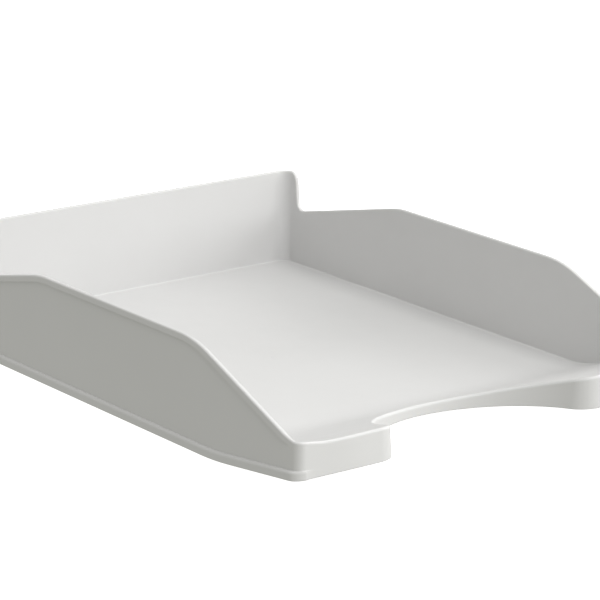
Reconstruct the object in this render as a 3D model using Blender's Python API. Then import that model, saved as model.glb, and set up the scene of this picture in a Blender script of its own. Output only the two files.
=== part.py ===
"""Stackable desk letter tray: a one-piece moulding that stands on four anti-slip pads.

Frame: +X to the right, +Y to the back wall, +Z up. The origin is at the centre of the
tray's outline, on the desk. Metres throughout.
"""

import math

import bmesh
import bpy

MM = 0.001

# Overall size
TRAY_WIDTH = 255.0 * MM
TRAY_DEPTH = 337.0 * MM
PAD_LIFT = 0.4 * MM            # the pads hold the moulding this far off the desk

# Heights above the moulding's own base
BACK_HEIGHT = 61.7 * MM
SIDE_HEIGHT = 59.9 * MM
LIP_HEIGHT = 25.5 * MM
FLOOR_HEIGHT = 5.0 * MM
NOTCH_HEIGHT = 37.8 * MM

# Thicknesses
WALL = 2.0 * MM
FLOOR_THICKNESS = 2.0 * MM

# Base flange and rim band
FLANGE_PROUD = 1.5 * MM
FLANGE_HEIGHT = 5.0 * MM
FLANGE_CORNER_RADIUS = 7.2 * MM
FLANGE_CORNER_SETBACK = 8.3 * MM
RIM_PROUD = 0.7 * MM
RIM_HEIGHT = 3.6 * MM
RIM_FRONT = 10.0 * MM          # where the rim band has its full thickness
RIM_TAPER = 6.0 * MM

# Stations along the side wall, measured back from the front edge
LIP_STATION = 6.6 * MM
FRONT_KINK = 87.2 * MM
REAR_KINK = 227.7 * MM
EAR_FOOT = 322.4 * MM
EAR_TOP = 324.8 * MM
RAMP_START = 67.7 * MM
BASE_RISE_START = 68.8 * MM
BASE_RISE = 8.05 * MM          # how far the base is off the desk at the front edge

# Radii of the side profile
LIP_BLEND_RADIUS = 10.0 * MM
FRONT_KINK_RADIUS = 65.0 * MM
REAR_KINK_RADIUS = 60.0 * MM
NOTCH_RADIUS = 5.0 * MM
EAR_RADIUS = 6.5 * MM
RAMP_RADIUS = 70.0 * MM
BASE_RISE_RADIUS = 200.0 * MM

# Plan corners
FRONT_CORNER_RADIUS = 5.0 * MM
REAR_CORNER_RADIUS = 7.5 * MM
FRONT_CORNER_SETBACK = 1.7 * MM  # the legs' front faces slope back this much to the corners

# Grip recess: a bell in plan, cut back from the front edge
RECESS_DEPTH = 60.3 * MM
RECESS_BOWL_RADIUS = 63.0 * MM
RECESS_SIDE_ANGLE = math.radians(77.8)
RECESS_CORNER_RADIUS = 13.2 * MM

# Anti-slip pads and the ring sockets that hold them
PAD_RADIUS = 6.0 * MM
PAD_EDGE_RADIUS = 0.5 * MM
PAD_GAP = 0.3 * MM
SOCKET_CLEARANCE = 0.4 * MM
SOCKET_WALL = 1.5 * MM
SOCKET_DEPTH = 1.6 * MM
PAD_INSET_X = 22.0 * MM
PAD_FRONT_STATION = 84.0 * MM
PAD_REAR_STATION = 315.0 * MM

OVERSHOOT = 20.0 * MM          # how far the cutters reach past the tray
HALF_WIDTH = TRAY_WIDTH / 2
WALL_HALF_WIDTH = HALF_WIDTH - FLANGE_PROUD
INNER_HALF_WIDTH = WALL_HALF_WIDTH - WALL
BACK_PLANE = TRAY_DEPTH - FLANGE_PROUD
TOP = PAD_LIFT + BACK_HEIGHT


# ---------------------------------------------------------------- outlines


def arc(centre, radius, start, end, steps):
    """Points on a circle from one angle to another, both ends included."""
    points = []
    for i in range(steps + 1):
        angle = start + (end - start) * i / steps
        points.append((centre[0] + radius * math.cos(angle), centre[1] + radius * math.sin(angle)))
    return points


def rounded(corners, steps=8, closed=False):
    """A polyline whose corners (x, y, radius) are turned into arcs."""
    points = []
    count = len(corners)
    for i, (x, y, radius) in enumerate(corners):
        if radius == 0 or (not closed and i in (0, count - 1)):
            points.append((x, y))
            continue
        before = corners[i - 1]
        after = corners[(i + 1) % count]
        heading_in = math.atan2(y - before[1], x - before[0])
        heading_out = math.atan2(after[1] - y, after[0] - x)
        turn = (heading_out - heading_in + math.pi) % (2 * math.pi) - math.pi
        side = math.copysign(1.0, turn)
        tangent = radius * math.tan(abs(turn) / 2)
        start = (x - tangent * math.cos(heading_in), y - tangent * math.sin(heading_in))
        centre = (
            start[0] - side * radius * math.sin(heading_in),
            start[1] + side * radius * math.cos(heading_in),
        )
        first = heading_in - side * math.pi / 2
        points += arc(centre, radius, first, first + turn, steps)
    return points


def offset(points, distance):
    """An open polyline moved sideways, to its right when distance is positive."""
    moved = []
    for i, (x, y) in enumerate(points):
        before = points[max(i - 1, 0)]
        after = points[min(i + 1, len(points) - 1)]
        length = math.hypot(after[0] - before[0], after[1] - before[1])
        along = ((after[0] - before[0]) / length, (after[1] - before[1]) / length)
        moved.append((x + along[1] * distance, y - along[0] * distance))
    return moved


def bell(skirt):
    """The recess outline from left to right, grown into the tray by the skirt's thickness."""
    bowl = RECESS_BOWL_RADIUS + skirt
    corner = RECESS_CORNER_RADIUS - skirt
    angle = RECESS_SIDE_ANGLE
    bowl_centre = RECESS_DEPTH - RECESS_BOWL_RADIUS
    bowl_end = (bowl * math.sin(angle), bowl_centre + bowl * math.cos(angle))
    corner_front = skirt + corner * (1 - math.cos(angle))
    side = max((bowl_end[1] - corner_front) / math.sin(angle), 0.0)
    corner_start = (bowl_end[0] + side * math.cos(angle), bowl_end[1] - side * math.sin(angle))
    corner_centre = (
        corner_start[0] + corner * math.sin(angle),
        corner_start[1] + corner * math.cos(angle),
    )
    bowl_arc = arc((0.0, bowl_centre), bowl, math.pi / 2, math.pi / 2 - angle, 16)
    corner_arc = arc(corner_centre, corner, -math.pi / 2 - angle, -math.pi / 2, 8)
    right = bowl_arc + corner_arc
    left = [(-x, f) for x, f in reversed(right[1:])]
    return left + right


def closed_bell(skirt):
    """The recess outline closed in front of the tray."""
    curve = bell(skirt)
    reach = curve[-1][0]
    return curve + [(reach, -OVERSHOOT), (-reach, -OVERSHOOT)]


def wall_outline():
    """Outside of the walls in plan, as stations back from the front edge."""
    flat = RECESS_BOWL_RADIUS + RECESS_CORNER_RADIUS
    setback = FRONT_CORNER_SETBACK
    return rounded(
        [
            (-flat, 0.0, 0.0),
            (flat, 0.0, 0.0),
            (WALL_HALF_WIDTH, setback, FRONT_CORNER_RADIUS),
            (WALL_HALF_WIDTH, BACK_PLANE, REAR_CORNER_RADIUS),
            (-WALL_HALF_WIDTH, BACK_PLANE, REAR_CORNER_RADIUS),
            (-WALL_HALF_WIDTH, setback, FRONT_CORNER_RADIUS),
        ],
        closed=True,
    )


def inner_outline(front, front_radius):
    """Inside of the walls in plan."""
    back = BACK_PLANE - WALL
    rear_radius = REAR_CORNER_RADIUS - WALL
    return rounded(
        [
            (INNER_HALF_WIDTH, front, front_radius),
            (INNER_HALF_WIDTH, back, rear_radius),
            (-INNER_HALF_WIDTH, back, rear_radius),
            (-INNER_HALF_WIDTH, front, front_radius),
        ],
        closed=True,
    )


def flange_outline():
    """The base flange's outside, whose front ends turn into the legs' faces."""
    radius = FLANGE_CORNER_RADIUS
    centre_x = HALF_WIDTH - radius
    front = arc((centre_x, FLANGE_CORNER_SETBACK), radius, math.radians(-130), 0.0, 12)
    rear_radius = REAR_CORNER_RADIUS + FLANGE_PROUD
    rear = arc(
        (HALF_WIDTH - rear_radius, TRAY_DEPTH - rear_radius), rear_radius, 0.0, math.pi / 2, 8
    )
    right = front + rear
    return right + [(-x, f) for x, f in reversed(right)]


def rim_outline():
    """The rim band's outside, which thins away into the wall at the front."""
    reach = WALL_HALF_WIDTH + RIM_PROUD
    rear_radius = REAR_CORNER_RADIUS + RIM_PROUD
    back = BACK_PLANE + RIM_PROUD
    right = [
        (WALL_HALF_WIDTH - RIM_PROUD, RIM_FRONT - RIM_TAPER),
        (reach, RIM_FRONT),
    ]
    right += arc((reach - rear_radius, back - rear_radius), rear_radius, 0.0, math.pi / 2, 8)
    return right + [(-x, f) for x, f in reversed(right)]


def wall_top():
    """Top edge of the side wall: (station, height), from the front to past the back."""
    return rounded(
        [
            (-OVERSHOOT, LIP_HEIGHT, 0.0),
            (LIP_STATION, LIP_HEIGHT, LIP_BLEND_RADIUS),
            (FRONT_KINK, SIDE_HEIGHT, FRONT_KINK_RADIUS),
            (REAR_KINK, SIDE_HEIGHT, REAR_KINK_RADIUS),
            (EAR_FOOT, NOTCH_HEIGHT, NOTCH_RADIUS),
            (EAR_TOP, BACK_HEIGHT, EAR_RADIUS),
            (TRAY_DEPTH + OVERSHOOT, BACK_HEIGHT, 0.0),
        ]
    )


def floor_top(drop=0.0):
    """Floor and front ramp: (station, height), lowered square to itself by drop."""
    slope = (LIP_HEIGHT - FLOOR_HEIGHT) / RAMP_START
    profile = rounded(
        [
            (-OVERSHOOT, LIP_HEIGHT + slope * OVERSHOOT, 0.0),
            (RAMP_START, FLOOR_HEIGHT, RAMP_RADIUS),
            (TRAY_DEPTH + OVERSHOOT, FLOOR_HEIGHT, 0.0),
        ]
    )
    return offset(profile, drop)


def base_line(rise=0.0):
    """Underside of the flange and legs: (station, height), flat and then rising to the front."""
    slope = BASE_RISE / BASE_RISE_START
    return rounded(
        [
            (-OVERSHOOT, BASE_RISE + slope * OVERSHOOT + rise, 0.0),
            (BASE_RISE_START, rise, BASE_RISE_RADIUS),
            (TRAY_DEPTH + OVERSHOOT, rise, 0.0),
        ]
    )


# ---------------------------------------------------------------- solids


def finish_mesh(bm, name):
    """Turn a bmesh into an object with outward faces."""
    bmesh.ops.recalc_face_normals(bm, faces=bm.faces)
    mesh = bpy.data.meshes.new(name)
    bm.to_mesh(mesh)
    bm.free()
    made = bpy.data.objects.new(name, mesh)
    bpy.context.collection.objects.link(made)
    return made


def prism(name, ring, far_ring):
    """A closed solid between two matching rings of points."""
    bm = bmesh.new()
    near = [bm.verts.new(point) for point in ring]
    far = [bm.verts.new(point) for point in far_ring]
    bm.faces.new(near)
    bm.faces.new(far)
    count = len(near)
    for i in range(count):
        j = (i + 1) % count
        bm.faces.new((near[i], near[j], far[j], far[i]))
    return finish_mesh(bm, name)


def upright(name, plan, low, high):
    """A plan outline (x, station) raised between two heights above the moulding's base."""
    origin = TRAY_DEPTH / 2
    bottom = [(x, f - origin, PAD_LIFT + low) for x, f in plan]
    top = [(x, f - origin, PAD_LIFT + high) for x, f in plan]
    return prism(name, bottom, top)


def crosswise(name, side, half_width):
    """A side outline (station, height) run across the tray."""
    origin = TRAY_DEPTH / 2
    left = [(-half_width, f - origin, PAD_LIFT + h) for f, h in side]
    right = [(half_width, f - origin, PAD_LIFT + h) for f, h in side]
    return prism(name, left, right)


def below(line, depth):
    """The side outline between a line and a level under it."""
    return line + [(line[-1][0], depth), (line[0][0], depth)]


def disc(name, radius, low, high, centre, edge=0.0):
    """An upright round solid standing on the desk's frame, with an optional rounded edge."""
    bm = bmesh.new()
    bmesh.ops.create_cone(
        bm, cap_ends=True, segments=40, radius1=radius, radius2=radius, depth=high - low
    )
    bmesh.ops.translate(bm, verts=bm.verts, vec=(0.0, 0.0, (low + high) / 2))
    if edge:
        rims = [e for e in bm.edges if abs(e.verts[0].co.z - e.verts[1].co.z) < edge / 10]
        bmesh.ops.bevel(bm, geom=rims, offset=edge, segments=2, profile=0.5, affect="EDGES")
    made = finish_mesh(bm, name)
    made.location = (centre[0], centre[1], 0.0)
    return made


def as_tool(made):
    """Mark an object as a cutter or guide that isn't a piece of the tray."""
    made.hide_render = True
    made.display_type = "WIRE"
    return made


def combine(target, tool, operation):
    """Add an exact Boolean to the target."""
    modifier = target.modifiers.new(tool.name, "BOOLEAN")
    modifier.operation = operation
    modifier.solver = "EXACT"
    modifier.object = as_tool(tool)


def plastic(name, colour, roughness):
    """A plain Principled material."""
    material = bpy.data.materials.new(name)
    material.use_nodes = True
    shader = material.node_tree.nodes["Principled BSDF"]
    shader.inputs["Base Color"].default_value = (*colour, 1.0)
    shader.inputs["Roughness"].default_value = roughness
    shader.inputs["Metallic"].default_value = 0.0
    return material


def shade_round(made):
    """Smooth the arcs and keep the real edges."""
    made.data.shade_smooth()
    made.data.set_sharp_from_angle(angle=math.radians(25))


# ---------------------------------------------------------------- the pieces


def pad_places():
    """Name and centre of each anti-slip pad."""
    half = HALF_WIDTH - PAD_INSET_X
    rows = (("front", PAD_FRONT_STATION), ("rear", PAD_REAR_STATION))
    sides = (("left", -half), ("right", half))
    return {
        f"anti_slip_pad_{row}_{side}": (x, station - TRAY_DEPTH / 2)
        for row, station in rows
        for side, x in sides
    }


def add_flange(body):
    """The rounded step round the foot of the walls."""
    band = upright("flange_band", flange_outline(), -OVERSHOOT, LIP_HEIGHT)
    ceiling = base_line(FLANGE_HEIGHT) + [
        (TRAY_DEPTH + OVERSHOOT, TOP),
        (-OVERSHOOT, TOP),
    ]
    combine(band, crosswise("flange_ceiling", ceiling, HALF_WIDTH + OVERSHOOT), "DIFFERENCE")
    combine(body, band, "UNION")


def add_rim(body):
    """The slightly proud band that follows the top edge of the side and back walls."""
    band = upright("rim_band", rim_outline(), 0.0, BACK_HEIGHT)
    underside = below(offset(wall_top(), RIM_HEIGHT), -OVERSHOOT)
    combine(band, crosswise("rim_underside", underside, HALF_WIDTH + OVERSHOOT), "DIFFERENCE")
    combine(body, band, "UNION")


def cut_side_profile(body):
    """Slope the side walls down to the front and back."""
    above = wall_top() + [
        (TRAY_DEPTH + OVERSHOOT, TOP + OVERSHOOT),
        (-OVERSHOOT, TOP + OVERSHOOT),
    ]
    combine(body, crosswise("side_profile_cutter", above, HALF_WIDTH + OVERSHOOT), "DIFFERENCE")


def cut_paper_space(body):
    """Open the tray above its floor and ramp, between the walls."""
    space = upright("paper_space_cutter", inner_outline(-OVERSHOOT, 0.0), 0.0, TOP + OVERSHOOT)
    under = below(floor_top(), -OVERSHOOT)
    combine(space, crosswise("floor_guide", under, HALF_WIDTH), "DIFFERENCE")
    combine(body, space, "DIFFERENCE")


def cut_underside(body):
    """Hollow the moulding below its floor, leaving walls and the front skirt."""
    front_radius = FRONT_CORNER_RADIUS - WALL
    front = FRONT_CORNER_SETBACK + WALL
    hollow = upright("underside_cutter", inner_outline(front, front_radius), -OVERSHOOT, LIP_HEIGHT)
    drop = FLOOR_THICKNESS
    over = floor_top(drop) + [
        (TRAY_DEPTH + OVERSHOOT + drop, TOP),
        (-OVERSHOOT - drop, TOP),
    ]
    combine(hollow, crosswise("floor_underside_guide", over, HALF_WIDTH), "DIFFERENCE")
    skirt = upright("skirt_guide", closed_bell(WALL), -2 * OVERSHOOT, TOP)
    combine(hollow, skirt, "DIFFERENCE")
    combine(body, hollow, "DIFFERENCE")


def cut_recess_and_base(body):
    """The grip recess at the front, and the base that lifts towards the front."""
    recess = upright("recess_cutter", closed_bell(0.0), -OVERSHOOT, TOP)
    combine(body, recess, "DIFFERENCE")
    under = below(base_line(), -2 * OVERSHOOT)
    combine(body, crosswise("base_cutter", under, HALF_WIDTH + OVERSHOOT), "DIFFERENCE")


def add_pad_sockets(body):
    """A low ring under the floor round each pad."""
    ceiling = PAD_LIFT + FLOOR_HEIGHT - FLOOR_THICKNESS
    bore = PAD_RADIUS + SOCKET_CLEARANCE
    for name, centre in pad_places().items():
        place = name.replace("anti_slip_pad", "socket")
        low = ceiling - SOCKET_DEPTH
        high = ceiling + FLOOR_THICKNESS / 2
        ring = disc(f"{place}_ring", bore + SOCKET_WALL, low, high, centre)
        hole = disc(f"{place}_bore", bore, low - OVERSHOOT, ceiling, centre)
        combine(ring, hole, "DIFFERENCE")
        combine(body, ring, "UNION")


def make_body():
    body = upright("tray_body", wall_outline(), 0.0, BACK_HEIGHT)
    body.data.materials.append(plastic("tray_plastic", (0.64, 0.64, 0.62), 0.42))
    add_flange(body)
    add_rim(body)
    cut_side_profile(body)
    cut_paper_space(body)
    cut_underside(body)
    cut_recess_and_base(body)
    add_pad_sockets(body)
    shade_round(body)


def make_pads():
    rubber = plastic("pad_rubber", (0.08, 0.08, 0.085), 0.75)
    top = PAD_LIFT + FLOOR_HEIGHT - FLOOR_THICKNESS - PAD_GAP
    for name, centre in pad_places().items():
        pad = disc(name, PAD_RADIUS, 0.0, top, centre, PAD_EDGE_RADIUS)
        pad.data.materials.append(rubber)
        shade_round(pad)


def main():
    for existing in list(bpy.data.objects):
        bpy.data.objects.remove(existing, do_unlink=True)
    make_body()
    make_pads()


main()
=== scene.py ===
import math

import bmesh
import bpy
import numpy as np
from mathutils import Matrix, Vector

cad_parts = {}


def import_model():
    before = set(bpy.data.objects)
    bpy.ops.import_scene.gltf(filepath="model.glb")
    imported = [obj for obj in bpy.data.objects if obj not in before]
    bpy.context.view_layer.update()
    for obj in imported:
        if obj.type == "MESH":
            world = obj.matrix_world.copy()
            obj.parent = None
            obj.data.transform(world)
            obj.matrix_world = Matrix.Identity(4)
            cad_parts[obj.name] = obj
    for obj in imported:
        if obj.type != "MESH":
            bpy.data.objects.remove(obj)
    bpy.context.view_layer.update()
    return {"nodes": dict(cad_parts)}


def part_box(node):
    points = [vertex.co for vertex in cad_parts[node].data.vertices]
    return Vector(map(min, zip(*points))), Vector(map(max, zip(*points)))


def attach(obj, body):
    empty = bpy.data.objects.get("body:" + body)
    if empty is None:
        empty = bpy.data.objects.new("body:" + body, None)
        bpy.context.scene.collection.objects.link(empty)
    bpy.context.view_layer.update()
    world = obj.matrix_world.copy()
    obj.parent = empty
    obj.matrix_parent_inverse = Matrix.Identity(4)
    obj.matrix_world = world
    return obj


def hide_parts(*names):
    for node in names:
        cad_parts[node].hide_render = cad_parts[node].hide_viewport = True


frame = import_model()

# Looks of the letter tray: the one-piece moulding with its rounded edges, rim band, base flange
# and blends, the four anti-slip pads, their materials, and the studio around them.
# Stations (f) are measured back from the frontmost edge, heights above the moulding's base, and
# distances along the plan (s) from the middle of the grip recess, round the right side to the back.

MM = 0.001
low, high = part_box("tray_body")
HALF_WIDTH = high[0]
DEPTH = high[1] - low[1]
BASE_Z = low[2]
BACK_HEIGHT = high[2] - low[2]

# Sizes repeated from the CAD
SIDE_HEIGHT = 59.9 * MM
FLOOR_HEIGHT = 5.0 * MM
NOTCH_HEIGHT = 37.8 * MM
WALL = 2.0 * MM
FLOOR_THICKNESS = 2.0 * MM
FLANGE_PROUD = 1.5 * MM
FLANGE_HEIGHT = 5.0 * MM
RIM_PROUD = 0.7 * MM
RIM_HEIGHT = 3.6 * MM
FRONT_KINK = 87.2 * MM
REAR_KINK = 227.7 * MM
EAR_FOOT = 322.4 * MM
EAR_TOP = 324.8 * MM
RAMP_START = 67.7 * MM
BASE_RISE_START = 68.8 * MM
BASE_RISE = 8.05 * MM
FRONT_KINK_RADIUS = 65.0 * MM
REAR_KINK_RADIUS = 60.0 * MM
NOTCH_RADIUS = 5.0 * MM
EAR_RADIUS = 6.5 * MM
RAMP_RADIUS = 70.0 * MM
BASE_RISE_RADIUS = 200.0 * MM
FRONT_CORNER_RADIUS = 5.0 * MM
REAR_CORNER_RADIUS = 7.5 * MM
FRONT_CORNER_SETBACK = 1.7 * MM
RECESS_DEPTH = 60.3 * MM
RECESS_BOWL_RADIUS = 63.0 * MM
RECESS_SIDE_ANGLE = math.radians(77.8)
RECESS_CORNER_RADIUS = 13.2 * MM
PAD_RADIUS = 6.0 * MM
SOCKET_CLEARANCE = 0.4 * MM
SOCKET_WALL = 1.5 * MM
SOCKET_DEPTH = 1.6 * MM
PAD_EDGE = 0.5 * MM
RIM_FRONT = 10.0 * MM          # front end of the rim band
FLANGE_CORNER_GAIN = 2.2 * MM  # the flange's front corner has a radius this much larger
FLANGE_CORNER_SHIFT = (0.7 * MM, 1.7 * MM)  # than the wall's, and a centre this far inward and back

# Sizes at the front that differ a little from the CAD's
LIP_HEIGHT = 26.2 * MM         # where the ramp's line meets the front
CORNER_HEIGHT = 27.4 * MM      # top of the walls at the front corners
RISE_START = 7.4 * MM          # station where the side walls' top begins to climb
RISE_RADIUS = 12.0 * MM

# Small radii and blends that only the looks have
RIM_EDGE = 1.0 * MM            # outer rounding of the side and back walls' top
INNER_EDGE = 0.9 * MM          # inner rounding of the same
LIP_EDGE = 1.5 * MM            # rounding of the front lip and the recess
FOOT_EDGE = 0.5 * MM           # rounding under the flange and the legs
FLOOR_FILLET = 1.0 * MM        # between the floor and the walls
CORNER_RISE = 1.8 * MM         # the lip sweeps up this much to meet the side walls
CORNER_SWEEP = 30.0 * MM       # over this width
CORNER_SWEEP_DEPTH = 55.0 * MM
RIM_FADE = 4.0 * MM
SKIRT_DRAFT = math.radians(4.0)  # lean of the recess and the legs' inner corners
TUCK = 0.02 * MM               # the skirt's top lies this far under the floor plate's skin
LIP_FADE = (16.0 * MM, 3.0 * MM)  # before the side wall, where the lip's rounding becomes the rim's
CORNER_BLEND = (16.0 * MM, 2.0 * MM)  # inside the side wall's face, where the lip meets its top
LEAN_FADE = 25.0 * MM          # the legs' lean dies out over this width
FLANGE_ON_LEG = 0.45 * MM      # the flange's last bit on the leg's front
FLANGE_LEG_RUN = 3.5 * MM
FILLET_FADE = (6.0 * MM, 40.0 * MM)  # stations over which the floor's fillet grows in
FULL_DETAIL_HEIGHT = 11.0 * MM  # lower walls have their rim and flange rows squeezed
SOCKET_EDGE = 0.35 * MM
SOLE_GROOVES = (2.2 * MM, 4.0 * MM)  # radii of the grip grooves in a pad's sole
GROOVE_HALF_WIDTH = 0.3 * MM
GROOVE_DEPTH = 0.25 * MM
GATE_MARKS = (                 # x, y, radius and height of the nubs that the mould's gates leave
    (-6.7 * MM, 8.0 * MM, 1.2 * MM, 0.25 * MM),
    (-2.6 * MM, 6.5 * MM, 0.9 * MM, 0.08 * MM),
)

WALL_HALF_WIDTH = HALF_WIDTH - FLANGE_PROUD
INNER_HALF_WIDTH = WALL_HALF_WIDTH - WALL
BACK_PLANE = DEPTH - FLANGE_PROUD
REACH = 20.0 * MM              # how far outlines run past the tray
PAD_CENTRES = {
    name: ((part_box(name)[0][0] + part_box(name)[1][0]) / 2, (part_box(name)[0][1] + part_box(name)[1][1]) / 2)
    for name in frame["nodes"] if name.startswith("anti_slip_pad")
}

# Sampling of the wall and the floor plate
TILT_STEP = 0.5 * MM           # over which the floor's slope beside an edge is read
FRONT_SPACING = 2.5 * MM
SIDE_SPACING = 4.0 * MM
SMALLEST_GAP = 0.25 * MM
REAR_CORNER_STEPS = 17
BACK_STEPS = 19

# Colour, studio and camera
SHARP_ANGLE = math.radians(34.0)
TRAY_COLOUR = (0.610, 0.608, 0.606)
CAMERA_PLACE = (-0.97434, -1.23804, 0.49800)
CAMERA_YAW = math.radians(38.3556)
CAMERA_PITCH = math.radians(16.2289)
CAMERA_ROLL = math.radians(0.947)
CAMERA_LENS = 179.65
SKY_LIGHT = (0.51, 0.51, 0.49)
GROUND_LIGHT = (0.59, 0.595, 0.55)
SOFT_BOXES = {
    "key": ((0.0, -1.6, 2.0), 1.8, 1.2, 6.6),
    "front_right": ((1.7, -1.8, 0.9), 1.4, 1.2, 4.2),
    "right": ((2.4, 0.0, 0.9), 1.8, 1.2, 3.3),
    "top_right": ((1.7, 0.2, 1.9), 1.4, 1.4, 1.2),
    "back_top": ((0.0, 1.8, 1.9), 2.2, 1.2, 0.6),
}


# ---------------------------------------------------------------- outlines


def rounded(corners, steps):
    """A polyline whose inner corners (x, y, radius) are turned into arcs."""
    points = [corners[0][:2]]
    for before, (x, y, radius), after in zip(corners, corners[1:], corners[2:]):
        heading_in = math.atan2(y - before[1], x - before[0])
        heading_out = math.atan2(after[1] - y, after[0] - x)
        turn = (heading_out - heading_in + math.pi) % (2 * math.pi) - math.pi
        side = math.copysign(1.0, turn)
        tangent = radius * math.tan(abs(turn) / 2)
        centre_x = x - tangent * math.cos(heading_in) - side * radius * math.sin(heading_in)
        centre_y = y - tangent * math.sin(heading_in) + side * radius * math.cos(heading_in)
        first = heading_in - side * math.pi / 2
        for i in range(steps + 1):
            angle = first + turn * i / steps
            points.append((centre_x + radius * math.cos(angle), centre_y + radius * math.sin(angle)))
    points.append(corners[-1][:2])
    return np.array(points)


def thicken(points, spacing):
    """The same polyline with no gap longer than the spacing."""
    dense = [points[0]]
    for a, b in zip(points, points[1:]):
        count = max(1, math.ceil(np.linalg.norm(b - a) / spacing))
        dense += [a + (b - a) * i / count for i in range(1, count + 1)]
    return np.array(dense)


def smoothstep(low_edge, high_edge, value):
    """0 below the low edge, 1 above the high one, and a smooth climb between."""
    t = np.clip((value - low_edge) / (high_edge - low_edge), 0.0, 1.0)
    return t * t * (3 - 2 * t)


SIDE_TOP = rounded(
    [
        (-REACH, CORNER_HEIGHT, 0.0),
        (RISE_START, CORNER_HEIGHT, RISE_RADIUS),
        (FRONT_KINK, SIDE_HEIGHT, FRONT_KINK_RADIUS),
        (REAR_KINK, SIDE_HEIGHT, REAR_KINK_RADIUS),
        (EAR_FOOT, NOTCH_HEIGHT, NOTCH_RADIUS),
        (EAR_TOP, BACK_HEIGHT, EAR_RADIUS),
        (DEPTH + REACH, BACK_HEIGHT, 0.0),
    ],
    12,
)
FLOOR_LINE = rounded(
    [
        (-REACH, LIP_HEIGHT + (LIP_HEIGHT - FLOOR_HEIGHT) * REACH / RAMP_START, 0.0),
        (RAMP_START, FLOOR_HEIGHT, RAMP_RADIUS),
        (DEPTH + REACH, FLOOR_HEIGHT, 0.0),
    ],
    24,
)
BASE_LINE = rounded(
    [
        (-REACH, BASE_RISE * (1 + REACH / BASE_RISE_START), 0.0),
        (BASE_RISE_START, 0.0, BASE_RISE_RADIUS),
        (DEPTH + REACH, 0.0, 0.0),
    ],
    24,
)


def plan_half():
    """Right half of the outside in plan: rows of x, station, and the outward normal."""
    rows = []

    def arc(centre, radius, first, last, steps, outward):
        for i in range(steps + 1):
            angle = first + (last - first) * i / steps
            normal = (math.cos(angle), math.sin(angle))
            rows.append(
                (centre[0] + radius * normal[0], centre[1] + radius * normal[1],
                 outward * normal[0], outward * normal[1])
            )

    right_angle = math.pi / 2
    side = RECESS_SIDE_ANGLE
    bowl_centre = RECESS_DEPTH - RECESS_BOWL_RADIUS
    bowl_end = (RECESS_BOWL_RADIUS * math.sin(side), bowl_centre + RECESS_BOWL_RADIUS * math.cos(side))
    front = RECESS_CORNER_RADIUS * (1 - math.cos(side))
    length = max((bowl_end[1] - front) / math.sin(side), 0.0)
    corner = (
        bowl_end[0] + length * math.cos(side) + RECESS_CORNER_RADIUS * math.sin(side),
        bowl_end[1] - length * math.sin(side) + RECESS_CORNER_RADIUS * math.cos(side),
    )
    arc((0.0, bowl_centre), RECESS_BOWL_RADIUS, right_angle, right_angle - side, 36, -1)
    arc(corner, RECESS_CORNER_RADIUS, -right_angle - side, -right_angle, 20, 1)
    slope = FRONT_CORNER_SETBACK / (WALL_HALF_WIDTH - corner[0])
    lean = math.atan(slope)
    centre_x = WALL_HALF_WIDTH - FRONT_CORNER_RADIUS
    centre_f = slope * (centre_x - corner[0]) + FRONT_CORNER_RADIUS * math.hypot(1.0, slope)
    arc((centre_x, centre_f), FRONT_CORNER_RADIUS, lean - right_angle, 0.0, 14, 1)
    rear = REAR_CORNER_RADIUS
    arc((WALL_HALF_WIDTH - rear, BACK_PLANE - rear), rear, 0.0, right_angle, 14, 1)
    rows.append((0.0, BACK_PLANE, 0.0, 1.0))
    return np.array(rows), centre_f


class Plan:
    """The outside of the tray in plan, by distance along it."""

    def __init__(self):
        rows, self.corner_f = plan_half()
        gaps = np.hypot(np.diff(rows[:, 0]), np.diff(rows[:, 1]))
        keep = np.concatenate(([True], gaps > 1e-7))
        self.rows = rows[keep]
        self.s = np.concatenate(([0.0], np.cumsum(gaps[gaps > 1e-7])))
        self.length = self.s[-1]
        not_on_side = self.rows[:, 0] < INNER_HALF_WIDTH
        self.side_start = self.s[np.argmin(np.abs(self.rows[:, 1] - self.corner_f) + not_on_side)]

    def at(self, s):
        """Place and outward normal at a distance from the middle of the recess."""
        x, f, nx, nf = (np.interp(s, self.s, self.rows[:, i]) for i in range(4))
        size = np.hypot(nx, nf)
        return x, f, nx / size, nf / size

    def of_station(self, f):
        """Distance along the side and back of a station."""
        tail = self.s >= self.side_start
        return np.interp(f, self.rows[tail, 1], self.s[tail])


PLAN = Plan()
LEG_START = RECESS_BOWL_RADIUS + RECESS_CORNER_RADIUS


def base_height(f):
    """Height of the wall's foot, which rises towards the front."""
    return np.interp(f, BASE_LINE[:, 0], BASE_LINE[:, 1])


def floor_skin(x, f):
    """Height of the floor's upper side: the flat floor, the ramp, and the sweep to the corners."""
    line = np.interp(f, FLOOR_LINE[:, 0], FLOOR_LINE[:, 1])
    fade = np.clip(1 - f / CORNER_SWEEP_DEPTH, 0.0, 1.0) ** 2
    width = CORNER_SWEEP * (0.25 + 0.75 * fade)
    across = np.clip((np.abs(x) - (INNER_HALF_WIDTH - width)) / width, 0.0, 1.2)
    return line + CORNER_RISE * fade * across ** 2


# ---------------------------------------------------------------- the wall all round


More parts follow.
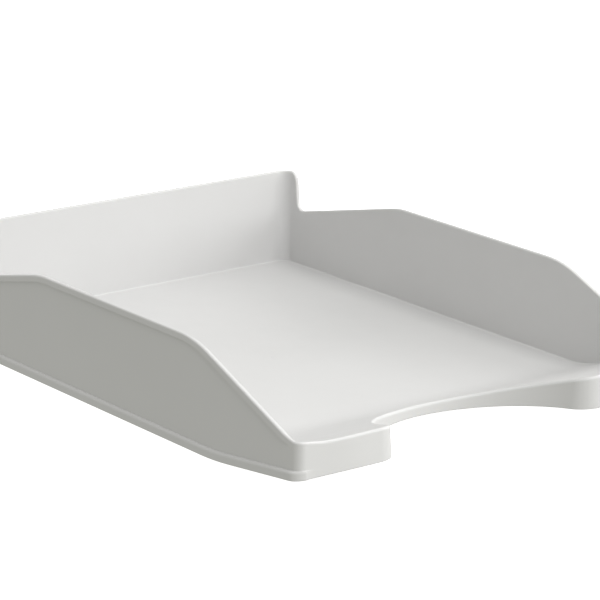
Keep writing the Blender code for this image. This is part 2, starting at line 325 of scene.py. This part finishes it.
def top_samples():
    """Distance along the plan and height of the top edge, which is nan where the lip sets it."""
    front = PLAN.s[PLAN.s <= PLAN.side_start]
    front = np.concatenate((front, np.arange(0.0, PLAN.side_start, FRONT_SPACING)))
    front = np.unique(np.round(front, 6))
    gaps = np.concatenate(([1.0], np.diff(front)))
    front = front[gaps > SMALLEST_GAP]
    side = thicken(SIDE_TOP[SIDE_TOP[:, 0] > 0], SIDE_SPACING)
    corner_start = BACK_PLANE - REAR_CORNER_RADIUS
    side = side[(side[:, 0] > PLAN.corner_f + 0.4 * MM) & (side[:, 0] < corner_start - 0.3 * MM)]
    side_s = PLAN.of_station(side[:, 0])
    corner = np.linspace(side_s[-1], PLAN.s[-2], REAR_CORNER_STEPS + 1)[1:]
    rear = np.concatenate((corner, np.linspace(corner[-1], PLAN.length, BACK_STEPS + 1)[1:]))
    s = np.concatenate((front, side_s, rear))
    rear_height = np.interp(PLAN.at(rear)[1], SIDE_TOP[:, 0], SIDE_TOP[:, 1])
    height = np.concatenate((np.full(len(front), np.nan), side[:, 1], rear_height))
    return s, height


def front_share(s):
    """1 along the recess and the legs' fronts, 0 along the walls, and a blend in the corners."""
    return 1 - smoothstep(PLAN.side_start - LIP_FADE[0], PLAN.side_start - LIP_FADE[1], s)


def skirt_lean(x, s):
    """How far the recess skirt and the legs' inner corners lean inward, per unit of height."""
    on_recess = 1 - smoothstep(LEG_START, LEG_START + LEAN_FADE, x)
    return math.tan(SKIRT_DRAFT) * np.where(s < PLAN.side_start, on_recess, 0.0)


def edge_tilt(x, f, nx, nf):
    """Angle at which the floor climbs outward across an edge of the plan."""
    inside = floor_skin(x - nx * TILT_STEP, f - nf * TILT_STEP)
    return np.arctan((floor_skin(x, f) - inside) / TILT_STEP)


def flange_reach(x, nx, nf, s):
    """How far the base flange stands out: full on the walls, fading round the corner to the leg."""
    angle = np.arctan2(-nf, nx)
    inward, back = FLANGE_CORNER_SHIFT
    on_corner = FLANGE_CORNER_GAIN - inward * np.cos(angle) - back * np.sin(angle)
    start = WALL_HALF_WIDTH - FRONT_CORNER_RADIUS
    on_leg = FLANGE_ON_LEG * smoothstep(start - FLANGE_LEG_RUN, start, x)
    return np.where(s > PLAN.side_start, FLANGE_PROUD, np.where(x > start, on_corner, on_leg))


def wall_sections():
    """Every section of the wall as rows of (x, station, height), over the right half."""
    s, height = top_samples()
    x, f, nx, nf = PLAN.at(s)
    frontness = front_share(s)
    edge = RIM_EDGE + (LIP_EDGE - RIM_EDGE) * frontness
    tilt = edge_tilt(x, f, nx, nf) * frontness
    lean = skirt_lean(x, s)
    base = base_height(f)
    shift = lean * (floor_skin(x, f) - base)
    touch = edge * (1 - np.sin(tilt)) + shift
    lip = floor_skin(x - nx * touch, f - nf * touch) - TUCK * frontness + edge * (1 - np.cos(tilt))
    to_corner = smoothstep(WALL_HALF_WIDTH - CORNER_BLEND[0], WALL_HALF_WIDTH - CORNER_BLEND[1], x)
    corner = lip + to_corner * np.maximum(CORNER_HEIGHT - lip, 0.0)
    top = np.where(np.isnan(height), corner, height)

    rim = RIM_PROUD * smoothstep(RIM_FRONT - RIM_FADE / 2, RIM_FRONT + RIM_FADE / 2, f)
    rim = np.where(s > PLAN.side_start, rim, 0.0)
    flange = flange_reach(x, nx, nf, s)

    scale = np.clip((top - base - LIP_EDGE) / FULL_DETAIL_HEIGHT, 0.2, 1.0)
    slope = np.gradient(top, s)
    down_s, down_z = slope / np.hypot(1.0, slope), -1 / np.hypot(1.0, slope)

    def on_wall(depth, inward):
        """A row of points below the top edge, square to it, and inward from the wall's outside."""
        px, pf, pnx, pnf = PLAN.at(s + down_s * depth)
        inward = inward + lean * (top + down_z * depth - base)
        return np.stack((px - pnx * inward, pf - pnf * inward, top + down_z * depth), axis=1)

    reach = RIM_HEIGHT + 1.0 * MM
    foot_s = s + down_s * reach * scale
    fx, ff, fnx, fnf = PLAN.at(foot_s)
    foot_base = base_height(ff)

    def on_foot(height_up, inward):
        """A row of points above the wall's foot, and inward from the wall's outside."""
        inward = inward + lean * height_up
        return np.stack((fx - fnx * inward, ff - fnf * inward, foot_base + height_up), axis=1)

    rows = []
    foot_angles = np.radians(np.linspace(0.0, 90.0, 5))
    for a in foot_angles:
        rows.append(on_foot(FOOT_EDGE * (1 - math.sin(a)), WALL - FOOT_EDGE * (1 - math.cos(a))))
    for a in foot_angles[::-1]:
        rows.append(on_foot(FOOT_EDGE * (1 - math.sin(a)), FOOT_EDGE * (1 - math.cos(a)) - flange))
    for a in np.radians(np.linspace(0.0, 75.0, 6)):
        lift = FLANGE_HEIGHT - FLANGE_PROUD * (1 - math.sin(a))
        rows.append(on_foot(lift * scale, -flange * math.cos(a)))
    for above in (0.15 * MM, 0.6 * MM):
        rows.append(on_foot((FLANGE_HEIGHT + above) * scale, 0.0))
    for depth, proud in ((1.0, 0.0), (0.25, 0.0), (0.15, 0.55), (-0.1, 1.0)):
        rows.append(on_wall(edge + (RIM_HEIGHT + depth * MM - edge) * scale, -rim * proud))
    for share in np.linspace(0.0, 1.0, 7):
        a = (np.pi / 2 - tilt) * share
        rows.append(on_wall(edge * (1 - np.sin(a)), edge * (1 - np.cos(a)) - rim))
    inner_edge = INNER_EDGE - 0.5 * MM * frontness
    flat = (WALL - inner_edge * (1 - np.sin(tilt))) - (edge * (1 - np.sin(tilt)) - rim)
    fall = edge * (1 - np.cos(tilt)) + flat * np.tan(tilt)
    for share in np.linspace(0.0, 1.0, 6):
        a = tilt + (np.pi / 2 - tilt) * share
        inward = WALL - inner_edge * (1 - np.sin(a))
        rows.append(on_wall(fall + inner_edge * (np.cos(tilt) - np.cos(a)), inward))
    return np.stack(rows)


def mirrored(rows):
    """The closed loop made of the right half and its mirror image."""
    left = rows[:, -2:0:-1] * np.array([-1.0, 1.0, 1.0])
    return np.concatenate((rows, left), axis=1)


def world(points):
    """From x, station and height to the row frame."""
    return points + np.array([0.0, -DEPTH / 2, BASE_Z])


def mesh_object(name, vertices, faces):
    """An object with a cleaned mesh whose faces point outward."""
    mesh = bpy.data.meshes.new(name)
    mesh.from_pydata([tuple(v) for v in vertices], [], faces)
    mesh.validate()
    bm = bmesh.new()
    bm.from_mesh(mesh)
    bmesh.ops.remove_doubles(bm, verts=bm.verts, dist=1e-6)
    bmesh.ops.recalc_face_normals(bm, faces=bm.faces)
    bm.to_mesh(mesh)
    bm.free()
    made = bpy.data.objects.new(name, mesh)
    bpy.context.collection.objects.link(made)
    return made


def loft(name, grid):
    """A skin over a grid of points (rows, columns, 3) that closes on itself both ways."""
    rows, columns = grid.shape[:2]
    faces = []
    for r in range(rows):
        for c in range(columns):
            r2, c2 = (r + 1) % rows, (c + 1) % columns
            faces.append((r * columns + c, r * columns + c2, r2 * columns + c2, r2 * columns + c))
    return mesh_object(name, grid.reshape(-1, 3), faces)


def make_wall():
    """The side and back walls, the legs and the recess skirt as one closed ring."""
    return loft("wall", world(mirrored(wall_sections())))


# ---------------------------------------------------------------- the floor plate


def floor_grid():
    """Columns and rows of the floor plate, closer together where it bends."""
    in_fillet = FLOOR_FILLET * np.array([1.0, 0.8, 0.6, 0.42, 0.28, 0.17, 0.08])
    side_end = [INNER_HALF_WIDTH, WALL_HALF_WIDTH - 0.6 * MM]
    near_wall = np.linspace(INNER_HALF_WIDTH - CORNER_SWEEP, INNER_HALF_WIDTH - FLOOR_FILLET * 1.2, 14)
    middle = np.linspace(0.0, near_wall[0], 14)[:-1]
    right = np.concatenate((middle, near_wall, INNER_HALF_WIDTH - in_fillet, side_end))
    x = np.concatenate((-right[:0:-1], right))
    back = BACK_PLANE - WALL
    near_back = np.linspace(back - REAR_CORNER_RADIUS, back - FLOOR_FILLET * 1.2, 8)
    f = np.concatenate(
        (
            np.linspace(-4 * MM, 50 * MM, 28),
            np.linspace(52 * MM, 84 * MM, 24),
            np.linspace(95 * MM, near_back[0] - 5 * MM, 14),
            near_back,
            back - in_fillet,
            [back, BACK_PLANE - 0.6 * MM],
        )
    )
    return x, f


def wall_distance(x, f):
    """Distance inside the inner faces of the side and back walls."""
    radius = REAR_CORNER_RADIUS - WALL
    qx = np.abs(x) - (INNER_HALF_WIDTH - radius)
    qf = f - (BACK_PLANE - WALL - radius)
    outside = np.hypot(np.maximum(qx, 0.0), np.maximum(qf, 0.0))
    return radius - outside - np.minimum(np.maximum(qx, qf), 0.0)


def make_floor():
    """The floor plate with the ramp, as a closed slab wider than the tray's front."""
    x, f = floor_grid()
    gx, gf = np.meshgrid(x, f)
    distance = np.clip(wall_distance(gx, gf), 0.1 * FLOOR_FILLET, FLOOR_FILLET)
    bend = FLOOR_FILLET - np.sqrt(FLOOR_FILLET ** 2 - (FLOOR_FILLET - distance) ** 2)
    front_fade = smoothstep(FILLET_FADE[0], FILLET_FADE[1], gf)
    top = floor_skin(gx, gf) + bend * front_fade
    bottom = np.interp(gf, FLOOR_LINE[:, 0], FLOOR_LINE[:, 1]) - FLOOR_THICKNESS
    rows, columns = gx.shape
    upper = np.stack((gx, gf, top), axis=2).reshape(-1, 3)
    lower = np.stack((gx, gf, bottom), axis=2).reshape(-1, 3)
    count = rows * columns
    faces = []
    for r in range(rows - 1):
        for c in range(columns - 1):
            a, b = r * columns + c, (r + 1) * columns + c
            faces.append((a, a + 1, b + 1, b))
            faces.append((count + a, count + b, count + b + 1, count + a + 1))
    rim = list(range(columns)) + [r * columns + columns - 1 for r in range(1, rows)]
    rim += [(rows - 1) * columns + c for c in range(columns - 2, -1, -1)]
    rim += [r * columns for r in range(rows - 2, 0, -1)]
    for a, b in zip(rim, rim[1:] + rim[:1]):
        faces.append((a, count + a, count + b, b))
    return mesh_object("floor_plate", world(np.concatenate((upper, lower))), faces)


def floor_outline():
    """A prism just inside the wall's outside, where the lip's rounding takes over at the front."""
    s, _ = top_samples()
    x, f, nx, nf = PLAN.at(s)
    frontness = front_share(s)
    tilt = edge_tilt(x, f, nx, nf)
    shift = skirt_lean(x, s) * (floor_skin(x, f) - base_height(f))
    inset = LIP_EDGE * (1 - np.sin(tilt)) * frontness + WALL / 2 * (1 - frontness) + shift
    ring = np.stack((x - nx * inset, f - nf * inset, np.full(len(s), -REACH)), axis=1)
    lift = np.array([0.0, 0.0, BACK_HEIGHT + 2 * REACH])
    grid = mirrored(np.stack((ring, ring + lift)))
    columns = grid.shape[1]
    faces = [(c, (c + 1) % columns, columns + (c + 1) % columns, columns + c) for c in range(columns)]
    faces += [tuple(range(columns)), tuple(range(columns, 2 * columns))]
    return mesh_object("floor_outline", world(grid.reshape(-1, 3)), faces)


def combine(target, tool, operation):
    """Exact Boolean, applied, and the tool removed."""
    modifier = target.modifiers.new(tool.name, "BOOLEAN")
    modifier.operation = operation
    modifier.solver = "EXACT"
    modifier.object = tool
    evaluated = target.evaluated_get(bpy.context.evaluated_depsgraph_get())
    mesh = bpy.data.meshes.new_from_object(evaluated)
    target.modifiers.clear()
    target.data = mesh
    bpy.data.objects.remove(tool, do_unlink=True)


# ---------------------------------------------------------------- turned parts


def turned(name, profile, centre, steps=64):
    """A closed solid turned about an upright axis from (radius, height) points, axis to axis."""
    vertices, faces = [], []
    for radius, z in profile:
        for i in range(steps):
            angle = 2 * math.pi * i / steps
            vertices.append((centre[0] + radius * math.cos(angle), centre[1] + radius * math.sin(angle), z))
    rows = len(profile)
    closed = profile[0][0] > 0
    for r in range(rows if closed else rows - 1):
        for i in range(steps):
            j, r2 = (i + 1) % steps, (r + 1) % rows
            faces.append((r * steps + i, r * steps + j, r2 * steps + j, r2 * steps + i))
    return mesh_object(name, vertices, faces)


def quarter(centre, radius, first, last, steps=4):
    """Points on a quarter round of a profile, angles in degrees."""
    points = []
    for i in range(steps + 1):
        angle = math.radians(first + (last - first) * i / steps)
        points.append((centre[0] + radius * math.cos(angle), centre[1] + radius * math.sin(angle)))
    return points


def add_sockets(shell):
    """Low rings under the floor round the pads."""
    ceiling = BASE_Z + FLOOR_HEIGHT - FLOOR_THICKNESS
    inner = PAD_RADIUS + SOCKET_CLEARANCE
    outer = inner + SOCKET_WALL
    bottom = ceiling - SOCKET_DEPTH
    edge = SOCKET_EDGE
    profile = [(inner, ceiling + 0.5 * MM)]
    profile += quarter((inner + edge, bottom + edge), edge, 180, 270)
    profile += quarter((outer - edge, bottom + edge), edge, 270, 360)
    profile += [(outer, ceiling + 0.5 * MM)]
    for name, centre in PAD_CENTRES.items():
        combine(shell, turned(name + "_socket", profile, centre), "UNION")


def add_gate_marks(plate):
    """The two small nubs that the mould's gates leave on the floor."""
    level = BASE_Z + FLOOR_HEIGHT
    for x, y, radius, height in GATE_MARKS:
        profile = [(0.0, level - 0.5 * MM), (radius, level - 0.5 * MM), (radius, level)]
        profile += [(radius * math.cos(a), level + height * math.sin(a)) for a in (0.35, 0.75, 1.15)]
        profile += [(0.0, level + height)]
        combine(plate, turned("gate_mark", profile, (x, y), 32), "UNION")


def make_pad(name, centre):
    """A rubber foot: a disc with rounded rims and two fine grip grooves in its sole."""
    top = BASE_Z + FLOOR_HEIGHT - FLOOR_THICKNESS - 0.05 * MM
    edge, half, depth = PAD_EDGE, GROOVE_HALF_WIDTH, GROOVE_DEPTH
    profile = [(0.0, 0.0)]
    for groove in SOLE_GROOVES:
        profile += [(groove - half, 0.0), (groove - half * 0.6, depth * 0.8), (groove, depth),
                    (groove + half * 0.6, depth * 0.8), (groove + half, 0.0)]
    profile += quarter((PAD_RADIUS - edge, edge), edge, 270, 360)
    profile += quarter((PAD_RADIUS - edge, top - edge), edge, 0, 90)
    profile += [(0.0, top)]
    return turned(name + "_foot", profile, centre)


# ---------------------------------------------------------------- materials


class Nodes:
    """A material's node tree with short calls for adding and joining nodes."""

    def __init__(self, name):
        self.material = bpy.data.materials.new(name)
        self.material.use_nodes = True
        self.tree = self.material.node_tree
        self.shader = self.tree.nodes["Principled BSDF"]
        self.place = self.add("ShaderNodeTexCoord").outputs["Object"]

    def add(self, kind, **values):
        node = self.tree.nodes.new(kind)
        for key, value in values.items():
            setattr(node, key, value)
        return node

    def join(self, output, socket):
        self.tree.links.new(output, socket)

    def noise(self, scale, detail=3.0, roughness=0.5):
        node = self.add("ShaderNodeTexNoise")
        node.inputs["Scale"].default_value = scale
        node.inputs["Detail"].default_value = detail
        node.inputs["Roughness"].default_value = roughness
        self.join(self.place, node.inputs["Vector"])
        return node.outputs["Fac"]

    def ramp(self, value, stops):
        node = self.add("ShaderNodeValToRGB")
        elements = node.color_ramp.elements
        while len(elements) < len(stops):
            elements.new(0.5)
        for element, (position, colour) in zip(elements, stops):
            element.position = position
            element.color = (*colour, 1.0)
        self.join(value, node.inputs["Fac"])
        return node.outputs["Color"]

    def spread(self, value, low_value, high_value, source=(0.3, 0.7)):
        node = self.add("ShaderNodeMapRange")
        node.inputs["From Min"].default_value, node.inputs["From Max"].default_value = source
        node.inputs["To Min"].default_value = low_value
        node.inputs["To Max"].default_value = high_value
        self.join(value, node.inputs["Value"])
        return node.outputs["Result"]

    def bump(self, layers):
        """Bump layers of (height, strength, distance), each on top of the one before."""
        normal = None
        for height, strength, distance in layers:
            node = self.add("ShaderNodeBump")
            node.inputs["Strength"].default_value = strength
            node.inputs["Distance"].default_value = distance
            self.join(height, node.inputs["Height"])
            if normal is not None:
                self.join(normal, node.inputs["Normal"])
            normal = node.outputs["Normal"]
        self.join(normal, self.shader.inputs["Normal"])


def tint(colour, factor):
    """A colour made lighter or darker."""
    return tuple(c * factor for c in colour)


def tray_plastic():
    """Light grey polystyrene with a fine satin grain and faint flow marks."""
    n = Nodes("tray_plastic_visual")
    flow = n.noise(9.0, 2.0)
    n.join(n.ramp(flow, [(0.35, tint(TRAY_COLOUR, 0.985)), (0.65, tint(TRAY_COLOUR, 1.01))]),
           n.shader.inputs["Base Color"])
    n.join(n.spread(n.noise(60.0, 4.0), 0.46, 0.56), n.shader.inputs["Roughness"])
    n.shader.inputs["Specular IOR Level"].default_value = 0.25
    n.bump([(n.noise(1400.0, 2.0), 0.10, 0.0002), (n.noise(30.0, 1.0), 0.05, 0.0006)])
    return n.material


def pad_rubber():
    """Dark, slightly dusty rubber."""
    n = Nodes("pad_rubber_visual")
    dust = n.noise(500.0, 5.0, 0.6)
    n.join(n.ramp(dust, [(0.4, (0.06, 0.06, 0.065)), (0.75, (0.13, 0.13, 0.13))]),
           n.shader.inputs["Base Color"])
    n.join(n.spread(dust, 0.7, 0.9), n.shader.inputs["Roughness"])
    n.bump([(n.noise(2500.0, 3.0), 0.3, 0.0002)])
    return n.material


# ---------------------------------------------------------------- studio


def make_floor_sheet():
    """The plain pale floor, which lights nothing, shows in no reflection and casts no shadow."""
    mesh = bpy.data.meshes.new("studio_floor")
    size = 8.0
    corners = [(-size, -size, 0), (size, -size, 0), (size, size, 0), (-size, size, 0)]
    mesh.from_pydata(corners, [], [(0, 1, 2, 3)])
    floor = bpy.data.objects.new("studio_floor", mesh)
    floor.visible_diffuse = floor.visible_glossy = floor.visible_shadow = False
    bpy.context.collection.objects.link(floor)
    n = Nodes("studio_floor")
    n.join(n.ramp(n.noise(3.0), [(0.3, (0.83, 0.83, 0.83)), (0.7, (0.85, 0.85, 0.85))]),
           n.shader.inputs["Base Color"])
    n.shader.inputs["Roughness"].default_value = 0.9
    n.shader.inputs["Specular IOR Level"].default_value = 0.1
    n.shader.inputs["Emission Color"].default_value = (1.0, 1.0, 1.0, 1.0)
    n.shader.inputs["Emission Strength"].default_value = 0.9
    mesh.materials.append(n.material)


def make_surround():
    """A two-tone surround: one grey above the horizon, another below it."""
    world_data = bpy.data.worlds.new("studio")
    world_data.use_nodes = True
    tree = world_data.node_tree
    direction = tree.nodes.new("ShaderNodeTexCoord").outputs["Generated"]
    split = tree.nodes.new("ShaderNodeSeparateXYZ")
    ramp = tree.nodes.new("ShaderNodeValToRGB")
    below, above = ramp.color_ramp.elements
    below.position, below.color = 0.49, (*GROUND_LIGHT, 1.0)
    above.position, above.color = 0.51, (*SKY_LIGHT, 1.0)
    shift = tree.nodes.new("ShaderNodeMath")
    shift.operation = "MULTIPLY_ADD"
    shift.inputs[1].default_value = shift.inputs[2].default_value = 0.5
    tree.links.new(direction, split.inputs["Vector"])
    tree.links.new(split.outputs["Z"], shift.inputs[0])
    tree.links.new(shift.outputs["Value"], ramp.inputs["Fac"])
    tree.links.new(ramp.outputs["Color"], tree.nodes["Background"].inputs["Color"])
    bpy.context.scene.world = world_data


def make_lights():
    """Soft boxes aimed at the tray, whose power follows from their radiance and size."""
    for name, (place, size_x, size_y, radiance) in SOFT_BOXES.items():
        light = bpy.data.lights.new(name, "AREA")
        light.shape = "RECTANGLE"
        light.size, light.size_y = size_x, size_y
        light.energy = radiance * math.pi * size_x * size_y
        lamp = bpy.data.objects.new(name, light)
        lamp.location = place
        lamp.rotation_euler = (-Vector(place)).to_track_quat("-Z", "Y").to_euler()
        bpy.context.collection.objects.link(lamp)


def make_camera():
    """The camera that stands where the photo was taken from."""
    camera_data = bpy.data.cameras.new("camera")
    camera_data.sensor_width = 36.0
    camera_data.lens = CAMERA_LENS
    camera_data.clip_start, camera_data.clip_end = 0.05, 50.0
    camera = bpy.data.objects.new("camera", camera_data)
    turn = (
        Matrix.Rotation(-CAMERA_YAW, 4, "Z")
        @ Matrix.Rotation(math.pi / 2 - CAMERA_PITCH, 4, "X")
        @ Matrix.Rotation(CAMERA_ROLL, 4, "Z")
    )
    camera.matrix_world = Matrix.Translation(CAMERA_PLACE) @ turn
    bpy.context.collection.objects.link(camera)
    bpy.context.scene.camera = camera


# ---------------------------------------------------------------- the scene


def finish_piece(piece, node, material):
    """Material and shading of a piece, and the CAD node that it stands for."""
    piece.data.materials.clear()
    piece.data.materials.append(material)
    piece.data.shade_smooth()
    piece.data.set_sharp_from_angle(angle=SHARP_ANGLE)
    weighted = piece.modifiers.new("weighted_normals", "WEIGHTED_NORMAL")
    weighted.keep_sharp = True
    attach(piece, "root")
    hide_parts(node)


def make_tray():
    """The moulding: the wall ring and the trimmed floor plate joined, with the sockets under it."""
    shell = make_wall()
    plate = make_floor()
    combine(plate, floor_outline(), "INTERSECT")
    add_gate_marks(plate)
    combine(shell, plate, "UNION")
    add_sockets(shell)
    shell.name = "tray_shell"
    finish_piece(shell, "tray_body", tray_plastic())


def make_pads():
    """The four rubber feet in their sockets."""
    rubber = pad_rubber()
    for name, centre in PAD_CENTRES.items():
        finish_piece(make_pad(name, centre), name, rubber)


make_tray()
make_pads()
make_floor_sheet()
make_surround()
make_lights()
make_camera()
bpy.context.scene.view_settings.view_transform = "Standard"
